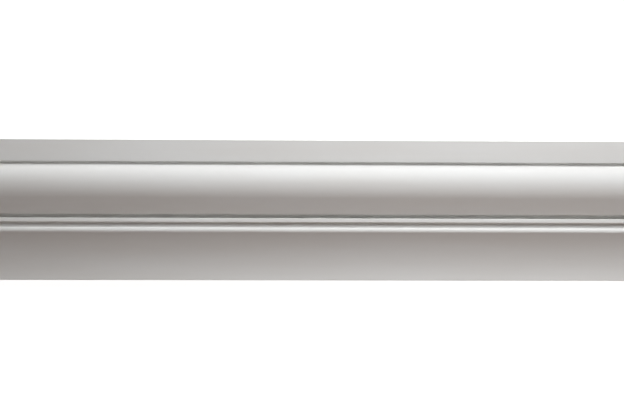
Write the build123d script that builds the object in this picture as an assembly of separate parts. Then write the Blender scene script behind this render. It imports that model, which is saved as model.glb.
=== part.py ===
from build123d import *
import math
import os

# Wall moulding: one stick of hard, pale, fine-celled polymer with a moulded face and a flat back.
# It lies along X on its back. The thick edge, which is the upper one on a wall, is towards +Y, and
# the face looks up, +Z. The origin is the middle of the back. Lengths are in millimetres, angles
# in degrees, and "out" means out from the back, towards the face.

# Overall sizes
LENGTH = 2000.0
WIDTH = 80.0
THICKNESS = 26.0  # from the back to the crown of the roll

# Listel: the flat band along the thick edge
LISTEL_WIDTH = 12.8
LISTEL_DROP = 4.3  # below the crown

# Quirk between the listel and the roll
LISTEL_QUIRK_WIDTH = 1.4
LISTEL_QUIRK_DEPTH = 1.5  # below the listel

# Roll: it rises to the crown on one arc, turns over on another and falls away straight
ROLL_RISE_RUN = 10.2  # across the stick, from the quirk to the crown
ROLL_NOSE_RADIUS = 16.6
FALL_SLOPE = 31.2
FALL_RUN = 17.6  # across the stick, from the crown to the foot of the fall

# Quirk between the roll and the fillet
ROLL_QUIRK_WIDTH = 2.3
ROLL_QUIRK_DEPTH = 3.3  # below the foot of the fall

# Fillet: the narrow flat strip
FILLET_WIDTH = 2.4
FILLET_RISE = 0.4  # above the foot of the fall

# Sunk floor between the fillet and the bead
SUNK_WIDTH = 2.9
SUNK_DEPTH = 1.9  # below the fillet

# Bead, which runs over into the cove
BEAD_RADIUS = 1.8
BEAD_HEIGHT = 1.1  # above the sunk floor

# Cove: it takes the rest of the width, down to the thin edge
EDGE_THICKNESS = 6.3
COVE_EDGE_SLOPE = 5.2  # what is left of its slope at the thin edge

# Softening of the moulded corners
EDGE_ARRIS_RADIUS = 0.35  # along the thick edge and the thin one
LISTEL_ARRIS_RADIUS = 0.8  # at the listel's quirk
FINE_ARRIS_RADIUS = 0.5  # at the foot of the fall and the fillet
GROOVE_RADIUS = 0.25  # at the floors of the quirks


def direction(angle):
    """The unit step at this angle, anticlockwise from the way towards the thin edge."""
    return Vector(math.cos(math.radians(angle)), math.sin(math.radians(angle)))


def arc_between(centre, radius, start_angle, end_angle):
    """The arc about a centre that runs from one angle to another."""
    return CenterArc(centre, radius, start_angle, end_angle - start_angle)


def rising_arc(foot, run, rise):
    """The arc that starts at its foot and lies level once it has run and risen this far."""
    radius = (run**2 + rise**2) / (2 * rise)
    centre = foot + Vector(run, rise - radius)
    foot_angle = 90 + math.degrees(math.asin(run / radius))
    return arc_between(centre, radius, foot_angle, 90)


def moulded_corners():
    """The face's corners before they are softened, from the thick edge to the bead.

    The first number of each is the distance from the thick edge, the second is out from the back.
    """
    listel = THICKNESS - LISTEL_DROP
    quirk_floor = listel - LISTEL_QUIRK_DEPTH
    crown = LISTEL_WIDTH + LISTEL_QUIRK_WIDTH + ROLL_RISE_RUN

    nose_run = ROLL_NOSE_RADIUS * math.sin(math.radians(FALL_SLOPE))
    nose_drop = ROLL_NOSE_RADIUS * (1 - math.cos(math.radians(FALL_SLOPE)))
    foot = crown + FALL_RUN
    foot_level = THICKNESS - nose_drop - (FALL_RUN - nose_run) * math.tan(math.radians(FALL_SLOPE))

    fillet_start = foot + ROLL_QUIRK_WIDTH
    fillet_end = fillet_start + FILLET_WIDTH
    fillet = foot_level + FILLET_RISE
    roll_quirk_floor = foot_level - ROLL_QUIRK_DEPTH
    sunk_floor = fillet - SUNK_DEPTH
    return {
        "listel_edge": Vector(0, listel),
        "listel_end": Vector(LISTEL_WIDTH, listel),
        "quirk_in": Vector(LISTEL_WIDTH, quirk_floor),
        "roll_start": Vector(LISTEL_WIDTH + LISTEL_QUIRK_WIDTH, quirk_floor),
        "crown": Vector(crown, THICKNESS),
        "fall_start": Vector(crown + nose_run, THICKNESS - nose_drop),
        "fall_foot": Vector(foot, foot_level),
        "roll_quirk_in": Vector(foot, roll_quirk_floor),
        "roll_quirk_out": Vector(fillet_start, roll_quirk_floor),
        "fillet_start": Vector(fillet_start, fillet),
        "fillet_end": Vector(fillet_end, fillet),
        "sunk_in": Vector(fillet_end, sunk_floor),
        "bead_start": Vector(fillet_end + SUNK_WIDTH, sunk_floor),
        "thin_edge": Vector(WIDTH, EDGE_THICKNESS),
    }


def bead_and_cove(bead_start, thin_edge):
    """The bead's arc and the cove's, which meet without a corner."""
    start_angle = 180 - math.degrees(math.asin(1 - BEAD_HEIGHT / BEAD_RADIUS))
    bead_centre = bead_start - direction(start_angle) * BEAD_RADIUS

    # The cove's centre lies out from the thin edge, square to the slope there, and as far from the
    # bead's centre as the two radii together.
    outward = direction(90 - COVE_EDGE_SLOPE)
    reach = thin_edge - bead_centre
    cove_radius = (reach.dot(reach) - BEAD_RADIUS**2) / (2 * (BEAD_RADIUS - reach.dot(outward)))
    cove_centre = thin_edge + outward * cove_radius

    towards = cove_centre - bead_centre
    meeting_angle = math.degrees(math.atan2(towards.Y, towards.X))
    bead = arc_between(bead_centre, BEAD_RADIUS, start_angle, meeting_angle)
    cove = arc_between(cove_centre, cove_radius, meeting_angle - 180, -90 - COVE_EDGE_SLOPE)
    return bead, cove


def softened(section, corners, radius):
    """The section with these corners rounded to one radius."""
    picked = [section.vertices().sort_by_distance(corner)[0] for corner in corners]
    return fillet(picked, radius)


def moulding_section():
    """The whole cross-section, with the thick edge at zero and the back along the first axis."""
    at = moulded_corners()
    bead, cove = bead_and_cove(at["bead_start"], at["thin_edge"])
    roll_rise = at["crown"].Y - at["roll_start"].Y
    nose_centre = at["crown"] - Vector(0, ROLL_NOSE_RADIUS)
    outline = [
        Polyline((0, 0), at["listel_edge"], at["listel_end"], at["quirk_in"], at["roll_start"]),
        rising_arc(at["roll_start"], ROLL_RISE_RUN, roll_rise),
        arc_between(nose_centre, ROLL_NOSE_RADIUS, 90, 90 - FALL_SLOPE),
        Polyline(
            at["fall_start"],
            at["fall_foot"],
            at["roll_quirk_in"],
            at["roll_quirk_out"],
            at["fillet_start"],
            at["fillet_end"],
            at["sunk_in"],
            at["bead_start"],
        ),
        bead,
        cove,
        Polyline(at["thin_edge"], (WIDTH, 0), (0, 0)),
    ]
    section = make_face(outline)
    section = softened(section, [at["listel_edge"], at["thin_edge"]], EDGE_ARRIS_RADIUS)
    section = softened(section, [at["listel_end"]], LISTEL_ARRIS_RADIUS)
    fine = [at["fall_foot"], at["fillet_start"], at["fillet_end"]]
    section = softened(section, fine, FINE_ARRIS_RADIUS)
    grooves = ["quirk_in", "roll_start", "roll_quirk_in", "roll_quirk_out", "sunk_in", "bead_start"]
    return softened(section, [at[name] for name in grooves], GROOVE_RADIUS)


def wall_moulding():
    """The whole stick, sawn square at both ends."""
    # The section's first axis runs from the thick edge, at +Y, to the thin one.
    end = Plane(origin=(LENGTH / 2, WIDTH / 2, 0), x_dir=(0, -1, 0), z_dir=(-1, 0, 0))
    return extrude(end * moulding_section(), LENGTH)


os.makedirs("parts", exist_ok=True)
export_step(wall_moulding(), "parts/wall_moulding.step")
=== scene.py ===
"""Dresses a straight stick of white wall moulding and lights it as a plain product picture.

The stick lies on its flat back with the moulded face up, as in the frame. Lengths are in metres,
so a size written in millimetres is multiplied by MM.
"""

import logging
import math
from dataclasses import dataclass, field
from enum import Enum
from typing import Any

import bpy
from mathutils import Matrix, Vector


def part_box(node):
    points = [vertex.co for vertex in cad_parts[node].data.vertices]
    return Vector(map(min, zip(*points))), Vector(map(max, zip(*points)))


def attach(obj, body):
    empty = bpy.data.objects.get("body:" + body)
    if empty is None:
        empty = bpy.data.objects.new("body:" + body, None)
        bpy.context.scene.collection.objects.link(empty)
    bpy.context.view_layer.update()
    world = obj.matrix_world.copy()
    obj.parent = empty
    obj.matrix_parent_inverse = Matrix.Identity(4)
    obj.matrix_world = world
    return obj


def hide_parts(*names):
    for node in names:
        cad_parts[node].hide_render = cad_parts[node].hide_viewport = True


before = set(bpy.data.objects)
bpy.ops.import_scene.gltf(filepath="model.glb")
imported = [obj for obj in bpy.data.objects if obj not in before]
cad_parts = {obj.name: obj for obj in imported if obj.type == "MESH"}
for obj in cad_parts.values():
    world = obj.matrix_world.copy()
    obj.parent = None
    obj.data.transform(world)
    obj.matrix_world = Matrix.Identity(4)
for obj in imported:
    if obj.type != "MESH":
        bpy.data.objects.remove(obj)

MM = 0.001
NODE = "wall_moulding"
NOISE_RANGE = (0.3, 0.7)  # the noise seldom leaves the middle of nought to one
WAVE_PITCH = 0.314  # about the distance between two rings of a wave of scale one
LOG = logging.getLogger(NODE)


def linear(hex_colour: str) -> tuple[float, float, float, float]:
    """Turns an sRGB hex colour into linear light.

    Args:
        hex_colour: the colour as six hex digits after a hash.

    Returns:
        Red, green, blue and an alpha of one.
    """
    channels = [int(hex_colour[i : i + 2], 16) / 255 for i in (1, 3, 5)]
    red, green, blue = (c / 12.92 if c <= 0.04045 else ((c + 0.055) / 1.055) ** 2.4 for c in channels)
    return red, green, blue, 1.0


def add_node(
    tree: bpy.types.NodeTree, kind: str, inputs: dict[str | int, Any] | None = None, **settings: Any
) -> bpy.types.Node:
    """Adds a node to a tree, with its settings, values and links.

    Args:
        tree: the tree that gets the node.
        kind: the node's type, such as ShaderNodeTexNoise.
        inputs: by an input's name or number, its value or the output that feeds it.
        settings: the node's own properties, such as an operation.

    Returns:
        The new node.
    """
    node = tree.nodes.new(kind)
    for name, value in settings.items():
        setattr(node, name, value)
    for key, value in (inputs or {}).items():
        if isinstance(value, bpy.types.NodeSocket):
            tree.links.new(value, node.inputs[key])
        else:
            node.inputs[key].default_value = value
    return node


class Turn(Enum):
    """Which way the section's outline turns on a round, walked over the face from the thick edge."""

    OVER = 1  # over the stuff, as on an arris, a roll or a bead
    UNDER = -1  # round a hollow, as in a quirk or a cove


@dataclass(frozen=True)
class Round:
    """A round stretch of the outline. The straight stretches are the tangents between rounds."""

    across: float  # its centre's distance from the thick edge
    out: float  # its centre's distance out from the back
    radius: float
    turn: Turn = Turn.OVER

    def point(self, angle: float) -> tuple[float, float]:
        """The point of the outline whose outward normal has this angle."""
        reach = self.radius * self.turn.value
        return self.across + reach * math.cos(angle), self.out + reach * math.sin(angle)

    def normal_towards(self, other: "Round") -> float:
        """Finds the stretch that leaves this round and runs on to the next.

        Args:
            other: the next round of the outline.

        Returns:
            The angle of that stretch's outward normal, anticlockwise from the way across.
        """
        gap = math.dist((self.across, self.out), (other.across, other.out))
        heading = math.atan2(other.out - self.out, other.across - self.across)
        lean = (self.radius * self.turn.value - other.radius * other.turn.value) / gap
        return heading + math.acos(max(-1.0, min(1.0, lean)))


@dataclass(frozen=True)
class MouldingSection:
    """The cross-section, from the thick edge over the face to the thin one, in millimetres."""

    width: float
    thickness: float
    listel_width: float = 12.8
    listel_drop: float = 4.3
    listel_quirk_width: float = 1.4
    listel_quirk_depth: float = 1.5
    roll_rise_run: float = 10.2
    roll_nose_radius: float = 16.6
    fall_slope: float = math.radians(31.2)
    fall_run: float = 17.6
    roll_quirk_width: float = 2.3
    roll_quirk_depth: float = 3.3
    fillet_width: float = 2.4
    fillet_rise: float = 0.4
    sunk_width: float = 2.9
    sunk_depth: float = 1.9
    bead_radius: float = 1.8
    bead_height: float = 1.1
    edge_thickness: float = 6.3
    cove_edge_slope: float = math.radians(5.2)
    edge_arris: float = 0.35
    listel_arris: float = 0.8
    fine_arris: float = 0.5
    groove: float = 0.25
    chord_sag: float = 0.001  # how far a chord may leave its arc
    hold: float = 0.06  # a point this near each end of a straight run keeps its shading flat
    same: float = 0.001  # points nearer than this are one

    def listel_and_roll(self) -> list[Round]:
        """Lays out the face from the thick edge to the crown and down its far side.

        Returns:
            The rounds in order, the first being the back corner of the thick edge.
        """
        listel = self.thickness - self.listel_drop
        floor = listel - self.listel_quirk_depth
        crown = self.listel_width + self.listel_quirk_width + self.roll_rise_run
        rise = self.thickness - floor
        radius = (self.roll_rise_run**2 + rise**2) / (2 * rise)
        rising = Round(crown, self.thickness - radius, radius)
        edge, arris, groove = self.edge_arris, self.listel_arris, self.groove
        return [
            Round(0, 0, 0),
            Round(edge, listel - edge, edge),
            Round(self.listel_width - arris, listel - arris, arris),
            Round(self.listel_width + groove, floor + groove, groove, Turn.UNDER),
            self.hollow_before(rising, floor),
            rising,
            Round(crown, self.thickness - self.roll_nose_radius, self.roll_nose_radius),
        ]

    def quirk_and_fillet(self) -> list[Round]:
        """Lays out the face from the foot of the roll's fall to the sunk floor.

        Returns:
            The rounds in order.
        """
        foot, foot_level = self.fall_foot()
        fillet_start = foot + self.roll_quirk_width
        fillet_end = fillet_start + self.fillet_width
        fillet = foot_level + self.fillet_rise
        floor = foot_level - self.roll_quirk_depth
        sunk = fillet - self.sunk_depth
        arris, groove = self.fine_arris, self.groove
        below_fall = arris / math.cos(self.fall_slope) - arris * math.tan(self.fall_slope)
        return [
            Round(foot - arris, foot_level - below_fall, arris),
            Round(foot + groove, floor + groove, groove, Turn.UNDER),
            Round(fillet_start - groove, floor + groove, groove, Turn.UNDER),
            Round(fillet_start + arris, fillet - arris, arris),
            Round(fillet_end - arris, fillet - arris, arris),
            Round(fillet_end + groove, sunk + groove, groove, Turn.UNDER),
        ]

    def bead_and_cove(self) -> list[Round]:
        """Lays out the bead, the cove and the thin edge.

        Returns:
            The rounds in order, the last being the back corner of the thin edge.
        """
        foot, foot_level = self.fall_foot()
        sunk = foot_level + self.fillet_rise - self.sunk_depth
        bead_foot = foot + self.roll_quirk_width + self.fillet_width + self.sunk_width
        below = self.bead_radius - self.bead_height
        half_chord = math.sqrt(self.bead_radius**2 - below**2)
        bead = Round(bead_foot + half_chord, sunk - below, self.bead_radius)

        # The cove's centre lies square to its slope at the thin edge, and touches the bead.
        outward = (math.sin(self.cove_edge_slope), math.cos(self.cove_edge_slope))
        reach = (self.width - bead.across, self.edge_thickness - bead.out)
        along = reach[0] * outward[0] + reach[1] * outward[1]
        radius = (reach[0] ** 2 + reach[1] ** 2 - bead.radius**2) / (2 * (bead.radius - along))
        centre = (self.width + outward[0] * radius, self.edge_thickness + outward[1] * radius)
        cove = Round(*centre, radius, Turn.UNDER)
        edge = self.width - self.edge_arris
        edge_out = cove.out - math.sqrt((cove.radius + self.edge_arris) ** 2 - (edge - cove.across) ** 2)
        ending = [Round(edge, edge_out, self.edge_arris), Round(self.width, 0, 0)]
        return [self.hollow_before(bead, sunk), bead, cove, *ending]

    def fall_foot(self) -> tuple[float, float]:
        """Finds where the roll's straight fall ends.

        Returns:
            Its distance from the thick edge and out from the back.
        """
        crown = self.listel_width + self.listel_quirk_width + self.roll_rise_run
        nose_run = self.roll_nose_radius * math.sin(self.fall_slope)
        nose_drop = self.roll_nose_radius * (1 - math.cos(self.fall_slope))
        straight_drop = (self.fall_run - nose_run) * math.tan(self.fall_slope)
        return crown + self.fall_run, self.thickness - nose_drop - straight_drop

    def hollow_before(self, rising: Round, floor: float) -> Round:
        """Eases the corner between a flat floor and the round that rises from it.

        Args:
            rising: the roll or bead after the floor.
            floor: the floor's distance out from the back.

        Returns:
            The small hollow that touches both.
        """
        out = floor + self.groove
        run = math.sqrt((rising.radius + self.groove) ** 2 - (out - rising.out) ** 2)
        return Round(rising.across - run, out, self.groove, Turn.UNDER)

    def outline(self) -> list[tuple[float, float]]:
        """Walks the rounds once about and gives the outline's points.

        Returns:
            Pairs of the distance from the thick edge and out from the back, in order.
        """
        rounds = self.listel_and_roll() + self.quirk_and_fillet() + self.bead_and_cove()
        points: list[tuple[float, float]] = []
        for i, this in enumerate(rounds):
            start = rounds[i - 1].normal_towards(this)
            end = this.normal_towards(rounds[(i + 1) % len(rounds)])
            points += self.held_run(points[-1], this.point(start)) if points else []
            points += self.arc_points(this, start, end)
        points += self.held_run(points[-1], points[0])
        # Rounds that touch give the same point twice.
        return [point for i, point in enumerate(points) if math.dist(point, points[i - 1]) > self.same]

    def arc_points(self, this: Round, start: float, end: float) -> list[tuple[float, float]]:
        """Points along one round, close enough for its chords to look round.

        Args:
            this: the round.
            start: the outward normal's angle where the outline meets it.
            end: the outward normal's angle where the outline leaves it.

        Returns:
            The points in order, with both ends, or one point for a sharp corner.
        """
        if this.radius == 0:
            return [this.point(start)]
        sweep = (end - start) * -this.turn.value % math.tau * -this.turn.value
        step = 2 * math.acos(1 - self.chord_sag / this.radius)
        count = max(2, math.ceil(abs(sweep) / step))
        return [this.point(start + sweep * i / count) for i in range(count + 1)]

    def held_run(self, start: tuple[float, float], end: tuple[float, float]) -> list[tuple[float, float]]:
        """Adds the points that keep a straight run's shading flat.

        Args:
            start: the run's first point.
            end: its last.

        Returns:
            Two points inside the run, near its ends, or none where it is too short.
        """
        length = math.dist(start, end)
        if length < 3 * self.hold:
            return []
        shares = (self.hold / length, 1 - self.hold / length)
        return [(start[0] + (end[0] - start[0]) * s, start[1] + (end[1] - start[1]) * s) for s in shares]


class Finish:
    """What one kind of surface is made of and how it looks."""

    name: str
    base_colour: str
    ior: float = 1.5

    def surface(self, tree: bpy.types.NodeTree, place: bpy.types.NodeSocket) -> dict[str | int, Any]:
        """The inputs of the surface's shader.

        Args:
            tree: the material's tree.
            place: the point on the stick, in metres.

        Returns:
            Values and outputs by the name of the shader's input.
        """
        raise NotImplementedError

    def material(self) -> bpy.types.Material:
        """Makes the material of this finish.

        Returns:
            The material, named for the finish.
        """
        made = bpy.data.materials.new(self.name)
        made.use_nodes = True
        made.diffuse_color = linear(self.base_colour)
        tree = made.node_tree
        tree.nodes.clear()
        place = add_node(tree, "ShaderNodeTexCoord").outputs["Object"]
        shader = add_node(tree, "ShaderNodeBsdfPrincipled", self.surface(tree, place))
        add_node(tree, "ShaderNodeOutputMaterial", {"Surface": shader.outputs["BSDF"]})
        return made


def grain(
    tree: bpy.types.NodeTree,
    place: bpy.types.NodeSocket,
    size_mm: tuple[float, float, float],
    detail: float = 2.0,
    offset: float = 0.0,
) -> bpy.types.NodeSocket:
    """Draws a soft random pattern whose grains have a real size.

    Args:
        tree: the material's tree.
        place: the point on the stick, in metres.
        size_mm: a grain's size along the stick, across it and out of it.
        detail: how many finer octaves are laid over it.
        offset: moves the pattern, so that two of one size differ.

    Returns:
        The pattern's value, spread over nought to one.
    """
    scale = tuple(1 / (size * MM) for size in size_mm)
    mapped = add_node(
        tree, "ShaderNodeMapping", {"Vector": place, "Location": (offset, offset, offset), "Scale": scale}
    )
    noise = add_node(
        tree, "ShaderNodeTexNoise", {"Vector": mapped.outputs["Vector"], "Scale": 1.0, "Detail": detail}
    )
    low, high = NOISE_RANGE
    spread = {"Value": noise.outputs["Fac"], "From Min": low, "From Max": high}
    return add_node(tree, "ShaderNodeMapRange", spread).outputs["Result"]


def relief(
    tree: bpy.types.NodeTree, layers: list[tuple[bpy.types.NodeSocket, float]]
) -> bpy.types.NodeSocket:
    """Adds up several height patterns and turns the sum into a bumpy surface.

    Args:
        tree: the material's tree.
        layers: each pattern with its full height in millimetres.

    Returns:
        The surface's normal.
    """
    height_mm: bpy.types.NodeSocket | float = 0.0
    for pattern, full_mm in layers:
        raised = {0: pattern, 1: full_mm, 2: height_mm}
        height_mm = add_node(tree, "ShaderNodeMath", raised, operation="MULTIPLY_ADD").outputs[0]
    return add_node(tree, "ShaderNodeBump", {"Height": height_mm, "Distance": MM}).outputs["Normal"]


@dataclass(frozen=True)
class SprayedPrimer(Finish):
    """White acrylic primer, sprayed in the works on a moulded face.

    The mould and the feed past the spray leave faint straight lines along the stick. The primer
    itself dries to a very fine orange peel, nearly matt, and lies a little uneven.
    """

    name: str = "sprayed_white_primer"
    base_colour: str = "#E6E6E4"
    thin_colour: str = "#E2E1DE"
    roughness_low: float = 0.54
    roughness_high: float = 0.64
    ior: float = 1.49  # acrylic's
    gloss: float = 0.3  # the primer's chalk dulls it below a clear varnish's 0.5
    peel_mm: float = 1.6  # a real peel is nearer 1 mm, which is too fine to show
    peel_height_mm: float = 0.004
    line_mm: tuple[float, float, float] = (260.0, 0.9, 0.9)
    line_height_mm: float = 0.002
    coat_mm: tuple[float, float, float] = (90.0, 14.0, 14.0)
    coat_offset: float = 3.1
    sag_mm: tuple[float, float, float] = (120.0, 24.0, 24.0)
    sag_height_mm: float = 0.015
    sag_offset: float = 7.7
    detail: float = 3.0

    def surface(self, tree: bpy.types.NodeTree, place: bpy.types.NodeSocket) -> dict[str | int, Any]:
        """Works out the primer's shader inputs.

        Args:
            tree: the material's tree.
            place: the point on the stick, in metres.

        Returns:
            Values and outputs by the name of the shader's input.
        """
        lines = grain(tree, place, self.line_mm, self.detail)
        peel = grain(tree, place, (self.peel_mm,) * 3)
        coat = grain(tree, place, self.coat_mm, self.detail, self.coat_offset)
        sag = grain(tree, place, self.sag_mm, 1.0, self.sag_offset)
        hues = {0: coat, 6: linear(self.thin_colour), 7: linear(self.base_colour)}
        sheen = {"Value": coat, "To Min": self.roughness_low, "To Max": self.roughness_high}
        heights = [(sag, self.sag_height_mm), (lines, self.line_height_mm), (peel, self.peel_height_mm)]
        return {
            "Base Color": add_node(tree, "ShaderNodeMix", hues, data_type="RGBA").outputs[2],
            "Roughness": add_node(tree, "ShaderNodeMapRange", sheen).outputs["Result"],
            "IOR": self.ior,
            "Specular IOR Level": self.gloss,
            "Normal": relief(tree, heights),
        }


@dataclass(frozen=True)
class MouldedFoamSkin(Finish):
    """The bare back of hard polymer foam, as it left the mould.

    It is duller and a touch warmer than the primer, with the print of the foam's cells in it and
    the mould's long rub marks.
    """

    name: str = "moulded_foam_skin"
    base_colour: str = "#E3E1DA"
    dark_colour: str = "#DAD7CE"
    roughness_low: float = 0.6
    roughness_high: float = 0.75
    cell_mm: float = 2.2
    cell_height_mm: float = 0.02
    cloud_mm: tuple[float, float, float] = (60.0, 30.0, 30.0)
    cloud_offset: float = 1.9
    rub_mm: tuple[float, float, float] = (180.0, 1.8, 1.8)
    rub_height_mm: float = 0.01
    detail: float = 3.0

    def surface(self, tree: bpy.types.NodeTree, place: bpy.types.NodeSocket) -> dict[str | int, Any]:
        """Works out the skin's shader inputs.

        Args:
            tree: the material's tree.
            place: the point on the stick, in metres.

        Returns:
            Values and outputs by the name of the shader's input.
        """
        spots = {"Vector": place, "Scale": 1 / (self.cell_mm * MM)}
        cells = add_node(tree, "ShaderNodeTexVoronoi", spots).outputs["Distance"]
        rubs = grain(tree, place, self.rub_mm, self.detail)
        cloud = grain(tree, place, self.cloud_mm, self.detail, self.cloud_offset)
        hues = {0: cloud, 6: linear(self.dark_colour), 7: linear(self.base_colour)}
        sheen = {"Value": rubs, "To Min": self.roughness_low, "To Max": self.roughness_high}
        return {
            "Base Color": add_node(tree, "ShaderNodeMix", hues, data_type="RGBA").outputs[2],
            "Roughness": add_node(tree, "ShaderNodeMapRange", sheen).outputs["Result"],
            "IOR": self.ior,
            "Normal": relief(tree, [(cells, self.cell_height_mm), (rubs, self.rub_height_mm)]),
        }


@dataclass(frozen=True)
class SawnFoam(Finish):
    """Hard polymer foam cut across with a fine circular saw.

    The cut opens the fine cells, so it is matt and pitted, and the blade leaves shallow arcs.
    """

    name: str = "sawn_polymer_foam"
    base_colour: str = "#EBEAE6"
    pit_colour: str = "#DDDBD5"
    roughness: float = 0.85
    cell_mm: float = 0.7  # real cells are about 0.2 mm, which is too fine to show
    cell_depth_mm: float = 0.12
    cluster_mm: float = 3.0
    cluster_detail: float = 4.0
    arc_pitch_mm: float = 1.4
    arc_height_mm: float = 0.04
    arc_waver: float = 1.2  # how far the arcs stray, as the blade does
    blade_radius_mm: float = 125.0

    def surface(self, tree: bpy.types.NodeTree, place: bpy.types.NodeSocket) -> dict[str | int, Any]:
        """Works out the cut's shader inputs.

        Args:
            tree: the material's tree.
            place: the point on the stick, in metres.

        Returns:
            Values and outputs by the name of the shader's input.
        """
        pits = {"Vector": place, "Scale": 1 / (self.cell_mm * MM)}
        cells = add_node(tree, "ShaderNodeTexVoronoi", pits).outputs["Distance"]
        clusters = grain(tree, place, (self.cluster_mm,) * 3, self.cluster_detail)
        hues = {0: clusters, 6: linear(self.pit_colour), 7: linear(self.base_colour)}

        moved = {"Vector": place, "Location": (0.0, 0.0, -self.blade_radius_mm * MM)}
        about_blade = add_node(tree, "ShaderNodeMapping", moved).outputs["Vector"]
        scale = WAVE_PITCH / (self.arc_pitch_mm * MM)
        rings = {"Vector": about_blade, "Scale": scale, "Distortion": self.arc_waver}
        arcs = add_node(tree, "ShaderNodeTexWave", rings, wave_type="RINGS", rings_direction="X")
        heights = [(cells, self.cell_depth_mm), (arcs.outputs["Fac"], self.arc_height_mm)]
        return {
            "Base Color": add_node(tree, "ShaderNodeMix", hues, data_type="RGBA").outputs[2],
            "Roughness": self.roughness,
            "IOR": self.ior,
            "Normal": relief(tree, heights),
        }


class SweptStick:
    """The Geometry Nodes tree that draws a section along a straight stick and dresses its faces."""

    SIZES = {"Length": "NodeSocketFloat", "Cuts": "NodeSocketInt", "Arris Angle": "NodeSocketFloat"}
    FINISHES = ("Face Finish", "Back Finish", "End Finish")
    FLAT_ON = 0.999  # a face square to an axis has at least this much of its normal along it

    def __init__(self) -> None:
        """Builds the tree."""
        self.tree = bpy.data.node_groups.new("swept_stick", "GeometryNodeTree")
        sockets = self.tree.interface
        sockets.new_socket("Geometry", in_out="INPUT", socket_type="NodeSocketGeometry")
        sockets.new_socket("Geometry", in_out="OUTPUT", socket_type="NodeSocketGeometry")
        for name, kind in self.SIZES.items():
            sockets.new_socket(name, in_out="INPUT", socket_type=kind)
        for name in self.FINISHES:
            sockets.new_socket(name, in_out="INPUT", socket_type="NodeSocketMaterial")
        self.given = add_node(self.tree, "NodeGroupInput").outputs
        dressed = self.dressed(self.softly_shaded(self.swept()))
        add_node(self.tree, "NodeGroupOutput", {"Geometry": dressed})

    def add(self, kind: str, inputs: dict[str | int, Any] | None = None, **settings: Any) -> Any:
        """Adds a node to the tree and gives its outputs."""
        return add_node(self.tree, kind, inputs, **settings).outputs

    def swept(self) -> bpy.types.NodeSocket:
        """Draws the section, given as a loop of edges, along the X axis.

        Returns:
            The stick's mesh, closed at both ends.
        """
        ends = []
        for share in (-0.5, 0.5):
            half = self.add("ShaderNodeMath", {0: self.given["Length"], 1: share}, operation="MULTIPLY")
            ends.append(self.add("ShaderNodeCombineXYZ", {"X": half["Value"]})["Vector"])
        rail = self.add("GeometryNodeCurvePrimitiveLine", {"Start": ends[0], "End": ends[1]})["Curve"]
        rail = self.add("GeometryNodeResampleCurve", {"Curve": rail, "Count": self.given["Cuts"]})["Curve"]
        rail = self.add("GeometryNodeSetCurveNormal", {"Curve": rail}, mode="Z_UP")["Curve"]
        section = self.add("GeometryNodeMeshToCurve", {"Mesh": self.given["Geometry"]})["Curve"]
        return self.add(
            "GeometryNodeCurveToMesh", {"Curve": rail, "Profile Curve": section, "Fill Caps": True}
        )["Mesh"]

    def softly_shaded(self, mesh: bpy.types.NodeSocket) -> bpy.types.NodeSocket:
        """Shades the mesh smooth but for the edges that turn by more than an arris's angle.

        Args:
            mesh: the stick's mesh.

        Returns:
            The same mesh, shaded.
        """
        turned = self.add("GeometryNodeInputMeshEdgeAngle")["Unsigned Angle"]
        sharp = self.add(
            "FunctionNodeCompare", {"A": turned, "B": self.given["Arris Angle"]}, operation="GREATER_THAN"
        )["Result"]
        smooth = self.add("GeometryNodeSetShadeSmooth", {"Geometry": mesh, "Shade Smooth": True})
        return self.add(
            "GeometryNodeSetShadeSmooth",
            {"Geometry": smooth["Geometry"], "Selection": sharp, "Shade Smooth": False},
            domain="EDGE",
        )["Geometry"]

    def square_to(self, axis: str, sign_matters: bool) -> bpy.types.NodeSocket:
        """Picks the faces that are square to an axis.

        Args:
            axis: X, Y or Z.
            sign_matters: whether only the faces that look back along the axis count.

        Returns:
            The selection.
        """
        parts = self.add("ShaderNodeSeparateXYZ", {0: self.add("GeometryNodeInputNormal")["Normal"]})
        operation = "MULTIPLY" if sign_matters else "ABSOLUTE"
        measure = self.add("ShaderNodeMath", {0: parts[axis], 1: -1.0}, operation=operation)["Value"]
        return self.add(
            "FunctionNodeCompare", {"A": measure, "B": self.FLAT_ON}, operation="GREATER_THAN"
        )["Result"]

    def dressed(self, mesh: bpy.types.NodeSocket) -> bpy.types.NodeSocket:
        """Gives the face, the back and the ends their finishes.

        Args:
            mesh: the stick's mesh.

        Returns:
            The same mesh, made real and with its materials.
        """
        mesh = self.add("GeometryNodeRealizeInstances", {"Geometry": mesh})["Geometry"]
        picks = (None, self.square_to("Z", True), self.square_to("X", False))
        for finish, pick in zip(self.FINISHES, picks):
            inputs = {"Geometry": mesh, "Material": self.given[finish]}
            if pick is not None:
                inputs["Selection"] = pick
            mesh = self.add("GeometryNodeSetMaterial", inputs)["Geometry"]
        return mesh

    def applied(
        self, name: str, section: bpy.types.Mesh, values: dict[str, Any]
    ) -> bpy.types.Object:
        """Runs the tree on a section and keeps the result as a plain mesh.

        Args:
            name: the new object's name.
            section: the section's outline as a loop of edges.
            values: what each named input of the tree gets.

        Returns:
            The object, at the origin, unturned and with no modifier.
        """
        source = bpy.data.objects.new(name + "_section", section)
        bpy.context.scene.collection.objects.link(source)
        modifier = source.modifiers.new("sweep", "NODES")
        modifier.node_group = self.tree
        sockets = {item.name: item.identifier for item in self.tree.interface.items_tree}
        for socket_name, value in values.items():
            modifier[sockets[socket_name]] = value
        evaluated = source.evaluated_get(bpy.context.evaluated_depsgraph_get())
        mesh = bpy.data.meshes.new_from_object(evaluated)
        mesh.name = name
        source.modifiers.remove(modifier)
        bpy.data.objects.remove(source)
        made = bpy.data.objects.new(name, mesh)
        bpy.context.scene.collection.objects.link(made)
        return made


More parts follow.
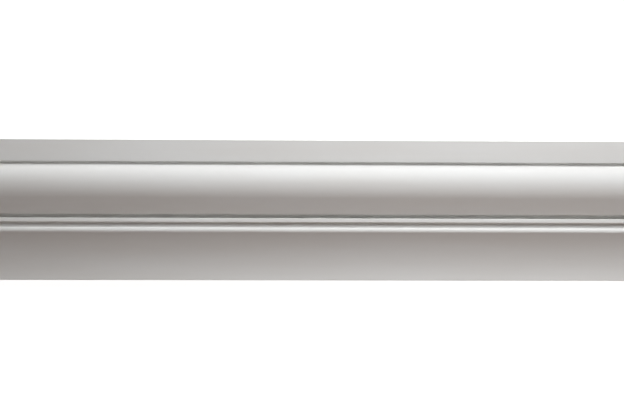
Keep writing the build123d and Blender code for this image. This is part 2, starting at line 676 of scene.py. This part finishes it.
@dataclass
class MouldingStick:
    """The stick itself: one section drawn along its length, with its face, back and sawn ends."""

    length: float
    section: MouldingSection
    cut_spacing: float = 0.04  # between the mesh's rings of points along the stick
    arris_angle: float = math.radians(35)  # an edge that turns by more is shaded sharp
    face: Finish = field(default_factory=SprayedPrimer)
    back: Finish = field(default_factory=MouldedFoamSkin)
    ends: Finish = field(default_factory=SawnFoam)

    @classmethod
    def from_frame(cls) -> "MouldingStick":
        """Takes the stick's overall sizes from the frame.

        Returns:
            A stick as long, wide and thick as its node.
        """
        low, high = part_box(NODE)
        size = high - low
        return cls(length=size.x, section=MouldingSection(width=size.y / MM, thickness=size.z / MM))

    def section_mesh(self) -> bpy.types.Mesh:
        """Draws the section's outline flat, the way round that the sweep needs it.

        Returns:
            The outline as a loop of edges.
        """
        half = self.section.width / 2
        points = [((across - half) * MM, -out * MM, 0.0) for across, out in self.section.outline()]
        count = len(points)
        mesh = bpy.data.meshes.new("section_outline")
        mesh.from_pydata(points, [(i, (i + 1) % count) for i in range(count)], [])
        return mesh

    def build(self) -> bpy.types.Object:
        """Makes the stick, dresses it and puts it in its node's place.

        Returns:
            The finished piece.
        """
        values = {
            "Length": self.length,
            "Cuts": round(self.length / self.cut_spacing) + 1,
            "Arris Angle": self.arris_angle,
            "Face Finish": self.face.material(),
            "Back Finish": self.back.material(),
            "End Finish": self.ends.material(),
        }
        piece = SweptStick().applied("moulding_stick", self.section_mesh(), values)
        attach(piece, "root")
        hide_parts(NODE)
        return piece


@dataclass(frozen=True)
class SoftLamp:
    """A kind of rectangular soft lamp with a honeycomb grid, which keeps its light in a cone."""

    name: str
    size: tuple[float, float]  # along the stick, and across it
    spread: float
    power: float
    colour: str
    distance: float = 1.3

    def hang(self, target: Vector, towards: Vector, share: float = 1.0) -> None:
        """Hangs one such lamp and turns it to what it lights.

        Args:
            target: the point that it faces.
            towards: the way from there to the lamp.
            share: how far it is turned up.
        """
        data = bpy.data.lights.new(self.name, "AREA")
        data.shape = "RECTANGLE"
        data.size, data.size_y = self.size
        data.energy, data.spread = self.power * share, self.spread
        data.color = linear(self.colour)[:3]
        lamp = bpy.data.objects.new(self.name, data)
        lamp.location = target + towards.normalized() * self.distance
        lamp.rotation_euler = towards.to_track_quat("Z", "Y").to_euler()
        lamp.visible_camera = False
        bpy.context.scene.collection.objects.link(lamp)


@dataclass
class Studio:
    """The pale floor, the white surroundings and soft lamps on every side of the stick."""

    key: SoftLamp = SoftLamp("key", (0.3, 0.8), math.radians(50), 1.82, "#FBFDFF")
    key_height: float = math.radians(40)  # above the floor, on the thick edge's side
    fill: SoftLamp = SoftLamp("fill", (0.3, 0.3), math.radians(60), 0.37, "#FFEEE7")
    fill_height: float = math.radians(20)  # above the floor, on the thin edge's side
    row: tuple[float, ...] = (-0.86, 0.11, 0.86)  # the key and fill lamps' places along the stick
    row_shares: tuple[float, ...] = (0.8, 1.0, 0.8)  # how far each key lamp is turned up
    low: SoftLamp = SoftLamp("low", (0.3, 0.5), math.radians(60), 0.5, "#FBFDFF")
    low_height: float = math.radians(15)  # above the floor, on the thick edge's side
    low_places: tuple[float, ...] = (-0.4, 0.85)  # along the stick
    end: SoftLamp = SoftLamp("end", (0.4, 0.4), math.radians(30), 0.35, "#FFFCF9")
    end_height: float = math.radians(35)  # above the floor, off each end
    sky_strength: float = 0.075
    sky_colour: str = "#FFEEE7"
    floor_colour: str = "#B4B4B2"
    floor_glow: float = 0.92  # the camera sees the lit floor white, with the stick's shadow on it
    floor_size: float = 40.0
    shadow_reach: tuple[float, float] = (1.4, 0.5)  # the half sizes of an ellipse about the stick
    shadow_core: float = 0.5  # the share of that ellipse in which the shadow shows in full

    def seen_rays(self, tree: bpy.types.NodeTree) -> bpy.types.NodeSocket:
        """Tells the rays that show the surroundings from those that only carry light.

        Args:
            tree: the world's or a material's tree.

        Returns:
            One for rays from the camera, in gloss or through glass, and nought for the rest.
        """
        rays = add_node(tree, "ShaderNodeLightPath").outputs
        seen = rays["Is Camera Ray"]
        for name in ("Is Glossy Ray", "Is Transmission Ray"):
            seen = add_node(tree, "ShaderNodeMath", {0: seen, 1: rays[name]}, operation="MAXIMUM").outputs[0]
        return seen

    def world(self) -> None:
        """Surrounds the stick with a soft even light that looks plain white."""
        world = bpy.data.worlds.new("studio_white")
        bpy.context.scene.world = world
        world.use_nodes = True
        tree = world.node_tree
        tree.nodes.clear()
        lit = {"Color": linear(self.sky_colour), "Strength": self.sky_strength}
        soft = add_node(tree, "ShaderNodeBackground", lit)
        white = add_node(tree, "ShaderNodeBackground", {"Color": linear("#FFFFFF"), "Strength": 1.0})
        either = {0: self.seen_rays(tree), 1: soft.outputs[0], 2: white.outputs[0]}
        mixed = add_node(tree, "ShaderNodeMixShader", either)
        add_node(tree, "ShaderNodeOutputWorld", {"Surface": mixed.outputs[0]})

    def floor_material(self) -> bpy.types.Material:
        """Makes pale matt paper that the camera sees white, fully so away from the stick.

        Returns:
            The floor's material.
        """
        made = bpy.data.materials.new("pale_paper_floor")
        made.use_nodes = True
        tree = made.node_tree
        tree.nodes.clear()
        place = add_node(tree, "ShaderNodeTexCoord").outputs["Object"]
        # This is one on the ellipse, past which no shadow shows.
        along, across = self.shadow_reach
        near = add_node(tree, "ShaderNodeMapping", {"Vector": place, "Scale": (1 / along, 1 / across, 1.0)})
        away = add_node(
            tree, "ShaderNodeVectorMath", {0: near.outputs[0]}, operation="LENGTH"
        ).outputs["Value"]
        fade = {"Value": away, "From Min": self.shadow_core, "To Min": self.floor_glow}
        glow = add_node(tree, "ShaderNodeMapRange", fade, interpolation_type="SMOOTHSTEP").outputs[0]
        strength = add_node(tree, "ShaderNodeMath", {0: glow, 1: self.seen_rays(tree)}, operation="MULTIPLY")
        shown = add_node(tree, "ShaderNodeEmission", {"Strength": strength.outputs[0]})
        paper = add_node(tree, "ShaderNodeBsdfDiffuse", {"Color": linear(self.floor_colour)})
        both = add_node(tree, "ShaderNodeAddShader", {0: shown.outputs[0], 1: paper.outputs[0]})
        add_node(tree, "ShaderNodeOutputMaterial", {"Surface": both.outputs[0]})
        return made

    def floor(self) -> None:
        """Lays the floor under the stick."""
        half = self.floor_size / 2
        mesh = bpy.data.meshes.new("floor")
        corners = [(-half, -half, 0.0), (half, -half, 0.0), (half, half, 0.0), (-half, half, 0.0)]
        mesh.from_pydata(corners, [], [(0, 1, 2, 3)])
        mesh.materials.append(self.floor_material())
        floor = bpy.data.objects.new("floor", mesh)
        floor.location.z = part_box(NODE)[0].z
        bpy.context.scene.collection.objects.link(floor)

    def lamps(self) -> None:
        """Hangs lamps along each side of the stick and one off each end."""
        key_side = Vector((0.0, math.cos(self.key_height), math.sin(self.key_height)))
        low_side = Vector((0.0, math.cos(self.low_height), math.sin(self.low_height)))
        fill_side = Vector((0.0, -math.cos(self.fill_height), math.sin(self.fill_height)))
        half_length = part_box(NODE)[1].x
        for along in self.low_places:
            self.low.hang(Vector((along, 0.0, 0.0)), low_side)
        for along, share in zip(self.row, self.row_shares):
            self.key.hang(Vector((along, 0.0, 0.0)), key_side, share)
            self.fill.hang(Vector((along, 0.0, 0.0)), fill_side)
        for side in (-1, 1):
            beyond = Vector((side * math.cos(self.end_height), 0.0, math.sin(self.end_height)))
            self.end.hang(Vector((side * half_length, 0.0, 0.0)), beyond)

    def build(self) -> None:
        """Sets up the floor, the surroundings and the lamps."""
        self.floor()
        self.world()
        self.lamps()
        bpy.context.scene.view_settings.view_transform = "Standard"


@dataclass(frozen=True)
class PictureCamera:
    """A long lens that looks straight down on the face, turned as slightly as the picture's is."""

    lens: float = 100.0  # millimetres, as is the sensor
    sensor: float = 36.0
    height: float = 1.0028
    across: float = 0.00035  # towards the thick edge
    turn: float = math.radians(-2.15)  # brings the left side a little nearer
    roll: float = math.radians(0.175)

    def build(self) -> None:
        """Puts the camera in place and makes it the scene's."""
        data = bpy.data.cameras.new("picture_camera")
        data.lens, data.sensor_width = self.lens, self.sensor
        camera = bpy.data.objects.new("picture_camera", data)
        camera.location = (self.height * math.tan(self.turn), self.across, self.height)
        camera.rotation_euler = (0.0, self.turn, self.roll)
        bpy.context.scene.collection.objects.link(camera)
        bpy.context.scene.camera = camera


def main() -> None:
    logging.basicConfig(level=logging.INFO, format="%(name)s: %(message)s")
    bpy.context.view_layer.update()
    PictureCamera().build()
    Studio().build()
    piece = MouldingStick.from_frame().build()
    sides = [round(side, 5) for side in piece.dimensions]
    LOG.info("%s: %d faces, %s m", piece.name, len(piece.data.polygons), sides)


if __name__ == "__main__":
    main()
